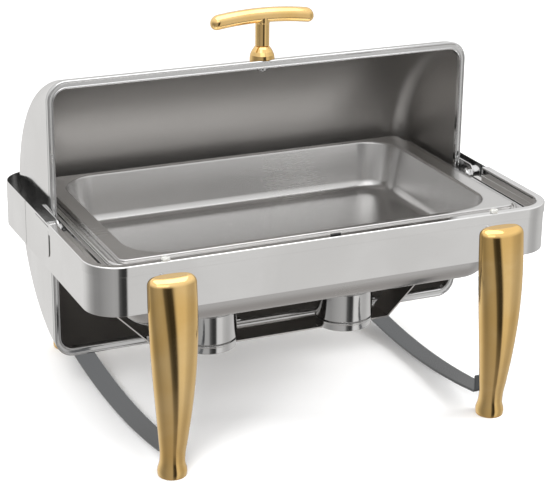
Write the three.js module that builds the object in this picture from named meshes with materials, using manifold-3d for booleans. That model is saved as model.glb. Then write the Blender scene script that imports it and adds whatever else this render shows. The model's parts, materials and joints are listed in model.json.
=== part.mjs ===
// Roll-top chafing dish: a sheet-metal band on four cast legs holds a water pan and a food pan,
// a drum-shaped cover rolls open on two studs, and two fuel burners stand on a strap shelf.
// Millimetres. +X runs along the length, -Y is the guest's side, +Z is up, the floor is z = 0.
import * as THREE from "three";
import { mergeVertices } from "three/addons/utils/BufferGeometryUtils.js";
import Module from "manifold-3d";

const wasm = await Module();
wasm.setup();

// Band and trim
const BAND = { halfX: 308, halfY: 196, corner: 42, sheet: 1.5, bottom: 208, top: 268 };
const SEAM_Y = 75;
const TRIM = { end: -26, top: 269.8, skirt: 258, proud: 1.1, sheet: 1.3, flange: 9, ledge: 23 };
const LEDGE_TOP = 258.4;
const PIVOT_PLATE = { y: 6.65, halfY: 32.35, low: 225, high: 266, corner: 8, sheet: 0.8 };
const BUMPER = { x: 219, y: -191.6, head: 5.5, stem: 1.6, low: 265.5, top: 274.4 };
const PAD = { halfX: 7, front: -191.5, rear: -188.5, corner: 1.4, height: 1.6 };
const GAP = 0.3;

// Pans
const CARRIER = { halfX: 282, front: -172.7, rear: 162, corner: 20, drop: 12, sheet: 1.2 };
const CARRIER_HOLE = { halfX: 270, front: -168.6, rear: 157.2, corner: 14 };
const WATER = { halfX: 250, front: -161.5, rear: 150, corner: 45, bottom: 165, fillet: 28, sheet: 1.2 };
const WATER_DRAFT = 6.5;
const WATER_FLANGE = { halfX: 277, front: -178, rear: 161, corner: 30, under: 258.8, bead: 2 };
const FOOD = { halfX: 245, front: -158, rear: 153, corner: 52, top: 266, floor: 200, sheet: 1.2 };
const FOOD_RIM = { halfX: 265, front: -166, rear: 159, corner: 10, lip: 5.4 };
// The food pan's wall from its mouth down to its floor: inset and height
const FOOD_WALL = [[0, 266], [1.6, 265], [2.4, 262.5], [12, 214], [14, 207.5], [18, 203], [25, 200.6]];
const FOOD_FLOOR_INSET = 32;

// Cover: a drum about an axis along X, cut off by the rim plane
const DRUM = { y: -3, z: 252, radius: 184, halfX: 290.6, fillet: 25 };
const COVER_SHEET = 1;
const RIM = { y: 20, depth: 8, width: 7.6, deeper: 3 };
const PIVOT = { y: -3, z: 255, stud: 4, hub: 10, washer: 12, washerSheet: 1.5 };
const CAP_NUT = { dome: 283.4, socket: 285.4, across: 8, skirt: 287.2 };
const ARM = { inside: 290.9, outside: 292.9, front: -15.5, rear: 60.5, radius: 14 };
const STOP_PIN = { y: 12, z: 237.7, radius: 3, inside: 287 };

// Handle
const HANDLE = { y: 35, baseRadius: 16.2, seat: 432, postRadius: 9.1, barRadius: 9.6, barTop: 500 };
const BASE_HEIGHT = 18.5;
const BAR = { half: 71, sag: 6 };
const HANDLE_SCREW = { radius: 2.4, head: 6.4, depth: 14 };

// Legs and stretchers
const LEG = { x: 219, top: 257.6 };
const LEG_BOLT = { heights: [222, 246], radius: 3, head: 6, headHeight: 3.2, depth: 214 };
const STRETCHER = { x: 217, width: 28, sheet: 3, low: 8, rise: 18, end: 195.2, tabTop: 50 };
const STRETCHER_SCREW = { x: 217, z: 42, radius: 2.5, head: 5, headHeight: 2.8, depth: 205 };

// Burner shelf and burners
const SHELF = { front: -26, rear: 16.5, top: 75, flat: 162, sheet: 2, tabTop: 231 };
const BURNER = { x: 98, y: -20, radius: 38.5, seat: SHELF.top + GAP, sheet: 1.2, tray: 11, height: 51 };
const THUMB_TAB = { height: 27, reach: 8, half: 4 };
const FUEL_CAN = { radius: 32.5, height: 42, recess: 4 };
const LID_MOUTH = 15;
const DAMPER = { pivot: 27, plate: 19, lever: 49, leverHalf: 4, eye: 6, sheet: 1 };
const RIVET = { radius: 2, head: 3.6, foot: 3.4 };

const FINISH = {
  mirror: { color: 0xd9dadc, roughness: 0.12, metalness: 1 },
  satin: { color: 0xa9a8a4, roughness: 0.38, metalness: 1 },
  gold: { color: 0xd9a441, roughness: 0.14, metalness: 1 },
  rubber: { color: 0x17171a, roughness: 0.7, metalness: 0 },
  silicone: { color: 0xd7d7d2, roughness: 0.3, metalness: 0 },
  fuel: { color: 0x8d8f93, roughness: 0.35, metalness: 0.9 },
};

// ---- solids ----

// A closed geometry as a solid that can be joined and cut.
function solid(geometry) {
  const bare = geometry.index ? geometry.toNonIndexed() : geometry;
  bare.deleteAttribute("normal");
  bare.deleteAttribute("uv");
  const merged = mergeVertices(bare, 1e-4);
  return new wasm.Manifold(
    new wasm.Mesh({
      numProp: 3,
      vertProperties: merged.attributes.position.array,
      triVerts: new Uint32Array(merged.index.array),
    }),
  );
}

function geometryOf(body) {
  const mesh = body.getMesh();
  return new THREE.BufferGeometry()
    .setAttribute("position", new THREE.BufferAttribute(mesh.vertProperties, 3))
    .setIndex(new THREE.BufferAttribute(mesh.triVerts, 1));
}

// Corners of a rounded rectangle that spans +-halfX and front..rear, anticlockwise.
function outline(halfX, front, rear, corner, steps = 4) {
  const points = [];
  const middle = (front + rear) / 2;
  const halfY = (rear - front) / 2;
  const signs = [[1, 1], [-1, 1], [-1, -1], [1, -1]];
  signs.forEach(([sx, sy], quarter) => {
    for (let i = 0; i <= steps; i += 1) {
      const angle = ((quarter + i / steps) * Math.PI) / 2;
      const x = sx * (halfX - corner) + corner * Math.cos(angle);
      const y = middle + sy * (halfY - corner) + corner * Math.sin(angle);
      points.push(new THREE.Vector2(x, y));
    }
  });
  return points;
}

function prism(points, low, high) {
  const geometry = new THREE.ExtrudeGeometry(new THREE.Shape(points), {
    depth: high - low,
    bevelEnabled: false,
    curveSegments: 8,
  });
  return solid(geometry.translate(0, 0, low));
}

// The band's outline, moved inwards by an amount; negative moves it outwards.
function bandPrism(inset, low, high) {
  const { halfX, halfY, corner } = BAND;
  return prism(outline(halfX - inset, inset - halfY, halfY - inset, corner - inset, 6), low, high);
}

function bandRing(outside, inside, low, high) {
  return bandPrism(outside, low, high).subtract(bandPrism(inside, low - 1, high + 1));
}

function box(x, y, z) {
  const size = [x, y, z].map(([low, high]) => high - low);
  const centre = [x, y, z].map(([low, high]) => (low + high) / 2);
  return solid(new THREE.BoxGeometry(...size).translate(...centre));
}

// Turned piece about an axis along Z through (x, y); the profile lists [radius, height].
function turned(profile, x, y, segments) {
  const points = profile.map(([radius, height]) => new THREE.Vector2(radius, height));
  const geometry = new THREE.LatheGeometry(points, segments).rotateX(Math.PI / 2);
  return solid(geometry.translate(x, y, 0));
}

// Turned piece about an axis along X through (y, z); the profile lists [radius, x].
function turnedX(profile, y, z, segments) {
  const points = profile.map(([radius, along]) => new THREE.Vector2(radius, along));
  const geometry = new THREE.LatheGeometry(points, segments).rotateZ(-Math.PI / 2);
  return solid(geometry.translate(0, y, z));
}

function rodX(radius, from, to, y, z, segments = 16) {
  return turnedX([[0, from], [radius, from], [radius, to], [0, to]], y, z, segments);
}

function rodZ(radius, from, to, x, y, segments = 16) {
  return turned([[0, from], [radius, from], [radius, to], [0, to]], x, y, segments);
}

// Rod along Y at (x, z).
function rodY(radius, from, to, x, z, segments = 10) {
  const geometry = new THREE.CylinderGeometry(radius, radius, to - from, segments);
  return solid(geometry.translate(x, (from + to) / 2, z));
}

// Closed skin through a list of rings, each with the same number of 3-D points.
function loft(rings) {
  const count = rings[0].length;
  const positions = rings.flat().flatMap((p) => [p.x, p.y, p.z]);
  const index = [];
  for (let ring = 0; ring + 1 < rings.length; ring += 1) {
    for (let i = 0; i < count; i += 1) {
      const a = ring * count + i;
      const b = ring * count + ((i + 1) % count);
      index.push(a, b, b + count, a, b + count, a + count);
    }
  }
  const cap = (ring, flip) => {
    const centre = new THREE.Vector3();
    rings[ring].forEach((p) => centre.addScaledVector(p, 1 / count));
    const hub = positions.length / 3;
    positions.push(centre.x, centre.y, centre.z);
    for (let i = 0; i < count; i += 1) {
      const a = ring * count + i;
      const b = ring * count + ((i + 1) % count);
      index.push(hub, flip ? b : a, flip ? a : b);
    }
  };
  cap(0, true);
  cap(rings.length - 1, false);
  const geometry = new THREE.BufferGeometry();
  geometry.setAttribute("position", new THREE.Float32BufferAttribute(positions, 3));
  return solid(geometry.setIndex(index));
}

// ---- scene graph ----

const root = new THREE.Group();

function add(name, body, finish, sideX = 1, sideY = 1) {
  const mesh = new THREE.Mesh(geometryOf(body), new THREE.MeshStandardMaterial(FINISH[finish]));
  mesh.name = name;
  mesh.scale.set(sideX, sideY, 1);
  root.add(mesh);
}

// Adds a right-hand piece and its mirror image.
function addPair(name, body, finish) {
  add(`${name}_right`, body, finish);
  add(`${name}_left`, body, finish, -1);
}

// ---- frame ----

function boltHoles(inner, outer) {
  const holes = [];
  for (const x of [-LEG.x, LEG.x]) {
    for (const z of LEG_BOLT.heights) {
      holes.push(rodY(LEG_BOLT.radius + GAP, -outer, -inner, x, z));
      holes.push(rodY(LEG_BOLT.radius + GAP, inner, outer, x, z));
    }
  }
  return holes;
}

function addBand() {
  const { halfX, halfY, sheet, bottom, top } = BAND;
  let wall = bandRing(0, sheet, bottom, top);
  for (const hole of boltHoles(halfY - 5, halfY + 5)) wall = wall.subtract(hole);
  const wide = [-halfX - 1, halfX + 1];
  const tall = [bottom - 1, top + 1];
  add("front_band", wall.intersect(box(wide, [-halfY - 1, SEAM_Y - GAP / 2], tall)), "mirror");
  add("rear_band", wall.intersect(box(wide, [SEAM_Y + GAP / 2, halfY + 1], tall)), "mirror");
}

// The folded cap: skirt outside the band, flange over its top, drop wall and ledge inside.
function addTrim() {
  const { end, top, skirt, proud, sheet, flange, ledge } = TRIM;
  const under = BAND.top + GAP;
  const skirtRing = bandRing(-proud, -GAP, skirt, top);
  const flangeRing = bandRing(-proud, flange + sheet, under, top);
  const dropWall = bandRing(flange, flange + sheet, LEDGE_TOP - sheet, top);
  const ledgeRing = bandRing(flange, ledge, LEDGE_TOP - sheet, LEDGE_TOP);
  const front = box([-BAND.halfX - 2, BAND.halfX + 2], [-BAND.halfY - 2, end], [200, 300]);
  let whole = skirtRing.add(flangeRing).add(dropWall).add(ledgeRing);
  for (const x of [-BUMPER.x, BUMPER.x]) {
    whole = whole.subtract(rodZ(BUMPER.stem + GAP, under - 1, top + 1, x, BUMPER.y, 12));
  }
  add("front_trim", whole.intersect(front), "mirror");
}

function addPivotPlates() {
  const { y, halfY, low, high, corner, sheet } = PIVOT_PLATE;
  const points = outline(halfY, low, high, corner).map((p) => new THREE.Vector2(p.x + y, p.y));
  const geometry = new THREE.ExtrudeGeometry(new THREE.Shape(points), {
    depth: sheet,
    bevelEnabled: false,
  });
  geometry.rotateX(Math.PI / 2).rotateZ(Math.PI / 2);
  addPair("pivot_plate", solid(geometry.translate(BAND.halfX + GAP, 0, 0)), "mirror");
}

function addCarrier() {
  const { halfX, front, rear, corner, drop, sheet } = CARRIER;
  const hole = CARRIER_HOLE;
  const ring = (inset, low, high) =>
    prism(outline(halfX - inset, front + inset, rear - inset, corner - inset), low, high);
  const opening = prism(outline(hole.halfX, hole.front, hole.rear, hole.corner), 200, 300);
  const flat = ring(0, LEDGE_TOP - sheet, LEDGE_TOP).subtract(opening);
  const wall = ring(0, LEDGE_TOP - drop, LEDGE_TOP).subtract(ring(sheet, 200, 300));
  add("pan_carrier", flat.add(wall), "satin");
}

// Half-breadth, back and front (outwards from the band's face) of the tusk-shaped leg by height.
const LEG_SECTIONS = [
  { z: 0, half: 18, back: -7, front: 29, square: 2 },
  { z: 8, half: 18.2, back: -7.2, front: 29.2, square: 2 },
  { z: 16, half: 16, back: -4.8, front: 27.2, square: 2 },
  { z: 26, half: 15.6, back: -2.4, front: 27.6, square: 2 },
  { z: 50, half: 18, back: -1, front: 32, square: 2 },
  { z: 80, half: 21.3, back: -0.2, front: 37, square: 2 },
  { z: 115, half: 24.8, back: GAP, front: 40.5, square: 2.05 },
  { z: 150, half: 27.6, back: GAP, front: 41.5, square: 2.1 },
  { z: 185, half: 29.4, back: GAP, front: 40, square: 2.15 },
  { z: 220, half: 30.2, back: GAP, front: 36, square: 2.2 },
  { z: 243, half: 29.8, back: GAP, front: 31.5, square: 2.3 },
  { z: 252, half: 27.5, back: GAP, front: 28, square: 2.3 },
  { z: LEG.top, half: 21, back: GAP, front: 21, square: 2.3 },
];

function legSolid() {
  const count = 18;
  const rings = LEG_SECTIONS.map(({ z, half, back, front, square }) => {
    const middle = -BAND.halfY - (back + front) / 2;
    const depth = (front - back) / 2;
    const rounding = (value) => Math.sign(value) * Math.abs(value) ** (2 / square);
    return Array.from({ length: count }, (_, i) => {
      const angle = (i / count) * 2 * Math.PI;
      const x = LEG.x + half * rounding(Math.cos(angle));
      return new THREE.Vector3(x, middle + depth * rounding(Math.sin(angle)), z);
    });
  });
  const { end, tabTop, x, width } = STRETCHER;
  const seat = box([x - width, x + width], [-end - GAP, -end + 20], [20, tabTop + 4]);
  let leg = loft(rings).subtract(seat);
  for (const hole of boltHoles(BAND.halfY - 5, LEG_BOLT.depth + GAP)) leg = leg.subtract(hole);
  const screw = STRETCHER_SCREW;
  return leg.subtract(rodY(screw.radius + GAP, -screw.depth - GAP, -180, screw.x, screw.z));
}

function addLegs() {
  const leg = legSolid();
  const head = BAND.halfY - BAND.sheet - GAP;
  const bolts = LEG_BOLT.heights.map((z) =>
    rodY(LEG_BOLT.head, -head, -head + LEG_BOLT.headHeight, LEG.x, z).add(
      rodY(LEG_BOLT.radius, -LEG_BOLT.depth, -head + 1, LEG.x, z),
    ),
  );
  const tab = STRETCHER.end - STRETCHER.sheet - GAP;
  const { radius, depth, headHeight, x, z } = STRETCHER_SCREW;
  const screw = rodY(STRETCHER_SCREW.head, -tab, -tab + headHeight, x, z).add(
    rodY(radius, -depth, -tab + 1, x, z),
  );
  for (const [depthName, sideY] of [["front", 1], ["rear", -1]]) {
    for (const [sideName, sideX] of [["right", 1], ["left", -1]]) {
      const place = `${depthName}_${sideName}`;
      add(`leg_${place}`, leg, "gold", sideX, sideY);
      add(`leg_bolt_low_${place}`, bolts[0], "satin", sideX, sideY);
      add(`leg_bolt_high_${place}`, bolts[1], "satin", sideX, sideY);
      add(`stretcher_screw_${place}`, screw, "satin", sideX, sideY);
    }
  }
}

// A strip bowed downwards between the legs, with an upturned tab at each end.
function addStretchers() {
  const { x, width, sheet, low, rise, end, tabTop } = STRETCHER;
  const under = (end * end + rise * rise) / (2 * rise);
  const height = low + under;
  const arc = (radius, reach) => {
    const points = [];
    const steps = 10;
    for (let i = 0; i <= steps; i += 1) {
      const y = -reach + (2 * reach * i) / steps;
      points.push(new THREE.Vector2(y, height - Math.sqrt(radius * radius - y * y)));
    }
    return points;
  };
  const inner = end - sheet;
  const points = [
    ...arc(under, end),
    new THREE.Vector2(end, tabTop),
    new THREE.Vector2(inner, tabTop),
    ...arc(under - sheet, inner).reverse(),
    new THREE.Vector2(-inner, tabTop),
    new THREE.Vector2(-end, tabTop),
  ];
  const geometry = new THREE.ExtrudeGeometry(new THREE.Shape(points), {
    depth: width,
    bevelEnabled: false,
  });
  geometry.rotateX(Math.PI / 2).rotateZ(Math.PI / 2).translate(x - width / 2, 0, 0);
  const screw = STRETCHER_SCREW;
  const bore = rodY(screw.radius + GAP, -end - 5, end + 5, screw.x, screw.z);
  addPair("stretcher", solid(geometry).subtract(bore), "mirror");
}

// Strap with a flat middle, 45 degree walls and tabs up the inside of the band.
function addShelf() {
  const { front, rear, top, flat, sheet, tabTop } = SHELF;
  const wallX = BAND.halfX - BAND.sheet - GAP;
  const slant = sheet * Math.tan(Math.PI / 8);
  const bend = top + wallX - sheet - flat;
  const half = [
    [flat + slant, top - sheet],
    [wallX, bend - sheet + slant],
    [wallX, tabTop],
    [wallX - sheet, tabTop],
    [wallX - sheet, bend],
    [flat, top],
  ];
  const mirrored = half.map(([x, z]) => [-x, z]).reverse();
  const points = [...half, ...mirrored].map(([x, z]) => new THREE.Vector2(x, z));
  const geometry = new THREE.ExtrudeGeometry(new THREE.Shape(points), {
    depth: rear - front,
    bevelEnabled: false,
  });
  add("burner_shelf", solid(geometry.rotateX(Math.PI / 2).translate(0, rear, 0)), "mirror");
}

// ---- pivots ----

function addPivots() {
  const { y, z, stud, hub, washer, washerSheet } = PIVOT;
  const { dome, socket, across, skirt } = CAP_NUT;
  const wall = BAND.halfX - BAND.sheet - GAP;
  const hubEnd = wall - washerSheet - GAP;
  const hubStart = ARM.outside + GAP;
  const tip = socket + 0.5;
  const profile = [[0, tip], [stud, tip], [stud, hubStart], [hub, hubStart], [hub, hubEnd], [0, hubEnd]];
  addPair("hub", turnedX(profile, y, z, 20), "satin");
  addPair("pivot_washer", rodX(washer, hubEnd + GAP, wall, y, z, 20), "rubber");
  const bore = stud + GAP;
  const face = ARM.inside - GAP;
  const nut = [
    [0, dome],
    [across / 2, dome + 0.5],
    [across - 1, dome + 2.6],
    [across, skirt],
    [across, face],
    [bore, face],
    [bore, socket],
    [0, socket],
  ];
  addPair("cap_nut", turnedX(nut, y, z, 16), "satin");
  const pin = STOP_PIN;
  addPair("stop_pin", rodX(pin.radius, pin.inside, wall, pin.y, pin.z, 12), "satin");
}

// Push-in buffers in the flange over the front legs, and a flat pad in the middle between them.
function addBumpers() {
  const { x, y, head, stem, low, top } = BUMPER;
  const seat = TRIM.top + GAP;
  const profile = [
    [0, low],
    [stem, low],
    [stem, seat],
    [head, seat],
    [head, top - 1.4],
    [head - 1.2, top - 0.3],
    [head - 3, top],
    [0, top],
  ];
  addPair("bumper", turned(profile, x, y, 14), "silicone");
  const pad = prism(outline(PAD.halfX, PAD.front, PAD.rear, PAD.corner, 3), seat, seat + PAD.height);
  add("bumper_centre", pad, "rubber");
}

// ---- pans ----

function panRing({ halfX, front, rear, corner }, inset, z) {
  const radius = Math.max(corner - inset, 6);
  const points = outline(halfX - inset, front + inset, rear - inset, radius);
  return points.map((p) => new THREE.Vector3(p.x, p.y, z));
}

// Inset and height of a quarter-round from a flat floor up to an upright wall.
function floorFillet(radius, floor, steps = 4) {
  return Array.from({ length: steps + 1 }, (_, i) => {
    const angle = (i / steps) * (Math.PI / 2);
    return [radius * (1 - Math.sin(angle)), floor + radius * (1 - Math.cos(angle))];
  });
}

function addWaterPan() {
  const { sheet, bottom, fillet } = WATER;
  const { under, bead } = WATER_FLANGE;
  const flangeTop = under + sheet;
  const outside = floorFillet(fillet, bottom).map(([inset, z]) => panRing(WATER, inset, z));
  const inside = floorFillet(fillet - sheet, bottom + sheet).map(([inset, z]) =>
    panRing(WATER, inset + sheet, z),
  );
  const rings = [
    ...outside,
    panRing(WATER, -WATER_DRAFT, under),
    panRing(WATER_FLANGE, 0, under),
    panRing(WATER_FLANGE, 0, flangeTop),
    panRing(WATER, sheet - WATER_DRAFT, flangeTop),
    ...inside.reverse(),
  ];
  const around = (inset, low, high) => {
    const { halfX, front, rear, corner } = WATER_FLANGE;
    return prism(outline(halfX - inset, front + inset, rear - inset, corner - inset), low, high);
  };
  const ridge = around(2.5, flangeTop - 0.5, flangeTop + bead).subtract(around(7.5, 200, 300));
  const frontOnly = box([-300, 300], [-200, 120], [200, 300]);
  add("water_pan", loft(rings).add(ridge.intersect(frontOnly)), "satin");
}

function addFoodPan() {
  const { top, floor, sheet } = FOOD;
  const inside = [...FOOD_WALL, [FOOD_FLOOR_INSET, floor]];
  const outside = FOOD_WALL.map(([inset, z]) => [inset - sheet, z - sheet * (z < 210 ? 1 : 0.3)]);
  const rings = [
    panRing(FOOD, FOOD_FLOOR_INSET, floor - sheet),
    ...outside.slice(2).reverse().map(([inset, z]) => panRing(FOOD, inset, z)),
    panRing(FOOD, -sheet, top - sheet),
    panRing(FOOD_RIM, sheet, top - sheet),
    panRing(FOOD_RIM, sheet, top - FOOD_RIM.lip),
    panRing(FOOD_RIM, 0, top - FOOD_RIM.lip),
    panRing(FOOD_RIM, 0, top - 1),
    panRing(FOOD_RIM, 1, top),
    ...inside.map(([inset, z]) => panRing(FOOD, inset, z)),
  ];
  add("food_pan", loft(rings), "satin");
}

// ---- cover ----

// The whole drum, moved inwards by an amount; its round side can be moved deeper than its ends.
function drum(inset, deeper = 0) {
  const length = DRUM.halfX - inset;
  const radius = DRUM.radius - inset - deeper;
  const fillet = DRUM.fillet - inset;
  const steps = 5;
  const profile = [[0, -length]];
  for (const side of [-1, 1]) {
    for (let i = 0; i <= steps; i += 1) {
      const angle = ((side < 0 ? i : steps - i) / steps) * (Math.PI / 2);
      const along = side * (length - fillet + fillet * Math.cos(angle));
      profile.push([radius - fillet + fillet * Math.sin(angle), along]);
    }
  }
  profile.push([0, length]);
  return turnedX(profile, DRUM.y, DRUM.z, 56);
}

function addCover() {
  const { y, depth, width, deeper } = RIM;
  const wide = [-400, 400];
  const tall = [0, 600];
  const behindRim = box(wide, [y + depth + GAP, 400], tall);
  const screwHole = rodZ(HANDLE_SCREW.radius + 2 * GAP, 400, 440, 0, HANDLE.y);
  const shell = drum(0).subtract(drum(COVER_SHEET)).intersect(behindRim).subtract(screwHole);
  add("cover_shell", shell, "mirror");
  const ring = drum(0).subtract(drum(width, deeper)).intersect(box(wide, [y, y + depth], tall));
  add("cover_rim", ring, "satin");
}

// Flat tabs outside the cover's ends, turning on the studs.
function addArms() {
  const { inside, outside, front, rear, radius } = ARM;
  const middle = (front + rear) / 2;
  const points = outline(rear - middle, PIVOT.z - radius, PIVOT.z + radius, radius - 0.01, 5);
  const shape = new THREE.Shape(points.map((p) => new THREE.Vector2(p.x + middle, p.y)));
  const geometry = new THREE.ExtrudeGeometry(shape, { depth: outside - inside, bevelEnabled: false });
  geometry.rotateX(Math.PI / 2).rotateZ(Math.PI / 2).translate(inside, 0, 0);
  const bore = rodX(PIVOT.stud + GAP, inside - 5, outside + 5, PIVOT.y, PIVOT.z, 16);
  addPair("cover_arm", solid(geometry).subtract(bore), "satin");
}

// The arched bar with round ends; a larger radius makes the cutter for its seat.
function barSolid(radius) {
  const stations = 12;
  const rings = [];
  for (let i = 0; i <= stations; i += 1) {
    const angle = -Math.PI / 2 + (i / stations) * Math.PI;
    const along = Math.sin(angle);
    const x = BAR.half * along;
    const fromEnd = BAR.half * (1 - Math.abs(along));
    const swell = fromEnd < radius ? Math.sqrt(1 - (1 - fromEnd / radius) ** 2) : 1;
    const r = radius * Math.max(swell, 0.15);
    const z = HANDLE.barTop - HANDLE.barRadius - BAR.sag * along * along;
    rings.push(
      Array.from({ length: 12 }, (_, k) => {
        const turn = (k / 12) * 2 * Math.PI;
        return new THREE.Vector3(x, HANDLE.y + r * Math.cos(turn), z + r * Math.sin(turn));
      }),
    );
  }
  return loft(rings);
}

function addHandle() {
  const { y, baseRadius, seat, postRadius, barRadius, barTop } = HANDLE;
  const screw = HANDLE_SCREW;
  const cap = seat + BASE_HEIGHT;
  const profile = [
    [0, seat - 20],
    [baseRadius - 0.3, seat - 20],
    [baseRadius, seat + 3],
    [baseRadius - 0.7, seat + 7.5],
    [baseRadius - 2.6, seat + 12],
    [baseRadius - 5.2, seat + 16],
    [postRadius, cap],
    [0, cap],
  ];
  const screwBore = rodZ(screw.radius + GAP, seat - 30, seat + screw.depth, 0, y);
  const base = turned(profile, 0, y, 20).subtract(drum(-GAP)).subtract(screwBore);
  add("handle_base", base, "gold");
  const post = rodZ(postRadius, cap + GAP, barTop - barRadius, 0, y, 20).subtract(barSolid(barRadius + GAP));
  add("handle_post", post, "gold");
  add("handle_bar", barSolid(barRadius), "gold");
  const head = rodZ(screw.head, seat - screw.depth, seat, 0, y).intersect(drum(COVER_SHEET + GAP));
  const shank = rodZ(screw.radius, seat - screw.depth + 1, seat + screw.depth - 1, 0, y);
  add("handle_screw", head.add(shank), "satin");
}

// ---- burners ----

function addBurner(side, x) {
  const { y, radius, seat, sheet, height } = BURNER;
  const trayTop = seat + BURNER.tray;
  const tray = [
    [0, seat],
    [radius - 2, seat],
    [radius, seat + 2],
    [radius, trayTop],
    [radius - sheet, trayTop],
    [radius - sheet, seat + 2.4],
    [radius - 2.6, seat + sheet],
    [0, seat + sheet],
  ];
  add(`burner_tray_${side}`, turned(tray, x, y, 26), "mirror");
  const foot = seat + sheet + GAP;
  const neck = radius - 3;
  const cupTop = seat + height;
  const cup = [
    [0, foot],
    [neck, foot],
    [neck, trayTop + 1.6],
    [radius, trayTop + 2.4],
    [radius, cupTop],
    [radius - sheet, cupTop],
    [radius - sheet, trayTop + 3.2],
    [neck - sheet, trayTop + 2.4],
    [neck - sheet, foot + sheet],
    [0, foot + sheet],
  ];
  const tabFoot = seat + THUMB_TAB.height;
  const tab = box(
    [x + radius - sheet, x + radius + THUMB_TAB.reach],
    [y - THUMB_TAB.half, y + THUMB_TAB.half],
    [tabFoot, tabFoot + sheet],
  );
  add(`burner_cup_${side}`, turned(cup, x, y, 26).add(tab), "mirror");
  const canFoot = foot + sheet + GAP;
  const canTop = canFoot + FUEL_CAN.height;
  const fuel = [
    [0, canFoot],
    [FUEL_CAN.radius, canFoot],
    [FUEL_CAN.radius, canTop],
    [FUEL_CAN.radius - 2, canTop],
    [FUEL_CAN.radius - 2, canTop - FUEL_CAN.recess],
    [0, canTop - FUEL_CAN.recess],
  ];
  add(`fuel_can_${side}`, turned(fuel, x, y, 20), "fuel");
  const lidFoot = cupTop + GAP;
  const lidTop = lidFoot + sheet;
  const lid = [
    [LID_MOUTH, lidFoot],
    [radius, lidFoot],
    [radius, lidTop],
    [LID_MOUTH, lidTop],
    [LID_MOUTH, lidFoot],
  ];
  const { pivot, plate, lever, leverHalf, eye } = DAMPER;
  const pivotX = x + pivot;
  const rod = (size, low, high) => rodZ(size, low, high, pivotX, y, 12);
  const damperFoot = lidTop + GAP;
  const damperTop = damperFoot + DAMPER.sheet;
  const bore = rod(RIVET.radius + GAP, lidFoot - 5, damperTop + 5);
  add(`burner_lid_${side}`, turned(lid, x, y, 26).subtract(bore), "mirror");
  const damper = rodZ(plate, damperFoot, damperTop, x, y, 20)
    .add(box([x, pivotX], [y - eye, y + eye], [damperFoot, damperTop]))
    .add(box([pivotX, x + lever], [y - leverHalf, y + leverHalf], [damperFoot, damperTop]))
    .add(rod(eye, damperFoot, damperTop));
  add(`damper_${side}`, damper.subtract(bore), "satin");
  const rivetTop = damperTop + GAP;
  const rivet = rod(RIVET.radius, lidFoot - 1.5, rivetTop + 0.5)
    .add(rod(RIVET.head, rivetTop, rivetTop + 1.2))
    .add(rod(RIVET.foot, lidFoot - 2, lidFoot - GAP));
  add(`damper_rivet_${side}`, rivet, "satin");
}

addBand();
addTrim();
addPivotPlates();
addCarrier();
addLegs();
addStretchers();
addShelf();
addPivots();
addBumpers();
addWaterPan();
addFoodPan();
addCover();
addArms();
addHandle();
addBurner("right", BURNER.x);
addBurner("left", -BURNER.x);

export default root;
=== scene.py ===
"""Looks of the roll-top chafing dish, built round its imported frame.

Every piece stands for one node of the frame, keeps its place and size, and moves with its body.
Shapes are worked out in millimetres, in the frame's axes: +X along the length, -Y the guest's side, +Z up.
"""

import json
import math
from collections import namedtuple

import bmesh
import bpy
import numpy as np
from mathutils import Matrix, Vector


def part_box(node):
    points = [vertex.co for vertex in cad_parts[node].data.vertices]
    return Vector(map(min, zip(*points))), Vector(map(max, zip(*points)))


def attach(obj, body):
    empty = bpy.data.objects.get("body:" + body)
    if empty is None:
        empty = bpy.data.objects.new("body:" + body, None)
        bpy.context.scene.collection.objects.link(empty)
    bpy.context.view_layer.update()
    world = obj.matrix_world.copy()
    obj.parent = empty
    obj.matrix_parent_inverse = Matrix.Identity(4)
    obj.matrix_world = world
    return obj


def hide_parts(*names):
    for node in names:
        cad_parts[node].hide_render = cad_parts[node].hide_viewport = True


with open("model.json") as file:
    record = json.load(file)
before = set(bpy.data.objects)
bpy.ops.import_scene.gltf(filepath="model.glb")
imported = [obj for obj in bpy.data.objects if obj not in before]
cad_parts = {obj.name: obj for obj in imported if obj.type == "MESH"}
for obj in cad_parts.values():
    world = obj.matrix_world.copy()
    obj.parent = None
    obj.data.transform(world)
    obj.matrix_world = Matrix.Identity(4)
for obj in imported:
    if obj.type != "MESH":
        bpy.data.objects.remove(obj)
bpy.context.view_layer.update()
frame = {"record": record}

MM = 0.001
SIDES = {"right": 1, "left": -1}
DEPTHS = {"front": 1, "rear": -1}
RECORD = frame["record"]
BODY_OF = {node: body for body, nodes in RECORD["behaviour"]["bodies"].items() for node in nodes}
SLOT_OF = {part["node"]: part["material_slot"] for part in RECORD["subparts"]}

CORNER_STEPS = 20
QUARTER_TURN = [math.radians(angle) for angle in range(0, 91, 10)]
TURN_STEPS = 72
GAP = 0.3

NEARLY_STRAIGHT = 0.03  # a corner that turns by less, in radians, is left as it is
ARC_SHARE = 0.45  # most of a line that the arc at one of its ends may take
SHARPEST_MITRE = 0.3  # cosine that limits how far a mitre is drawn out
LEAST_CORNER = 5
WELD = 2e-6  # points closer than this, in metres, become one
SLIVER = 1e-7  # edges shorter than this, in metres, are closed up


def extent(node):
    """Lowest and highest corner of a CAD node, in millimetres."""
    low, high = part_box(node)
    return low / MM, high / MM


def centre_of(node, axes):
    """Middle of a node's box along the axes, such as "xy"."""
    low, high = extent(node)
    return tuple((getattr(low, axis) + getattr(high, axis)) / 2 for axis in axes)


def half_size(node, axis):
    low, high = extent(node)
    return (getattr(high, axis) - getattr(low, axis)) / 2


# ---- lines and sections ----


def arc(centre, radius, start, end, steps):
    """Points on an arc, from one angle to another in degrees."""
    turns = np.radians(np.linspace(start, end, steps + 1))
    return [(centre[0] + radius * math.cos(t), centre[1] + radius * math.sin(t)) for t in turns]


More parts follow.
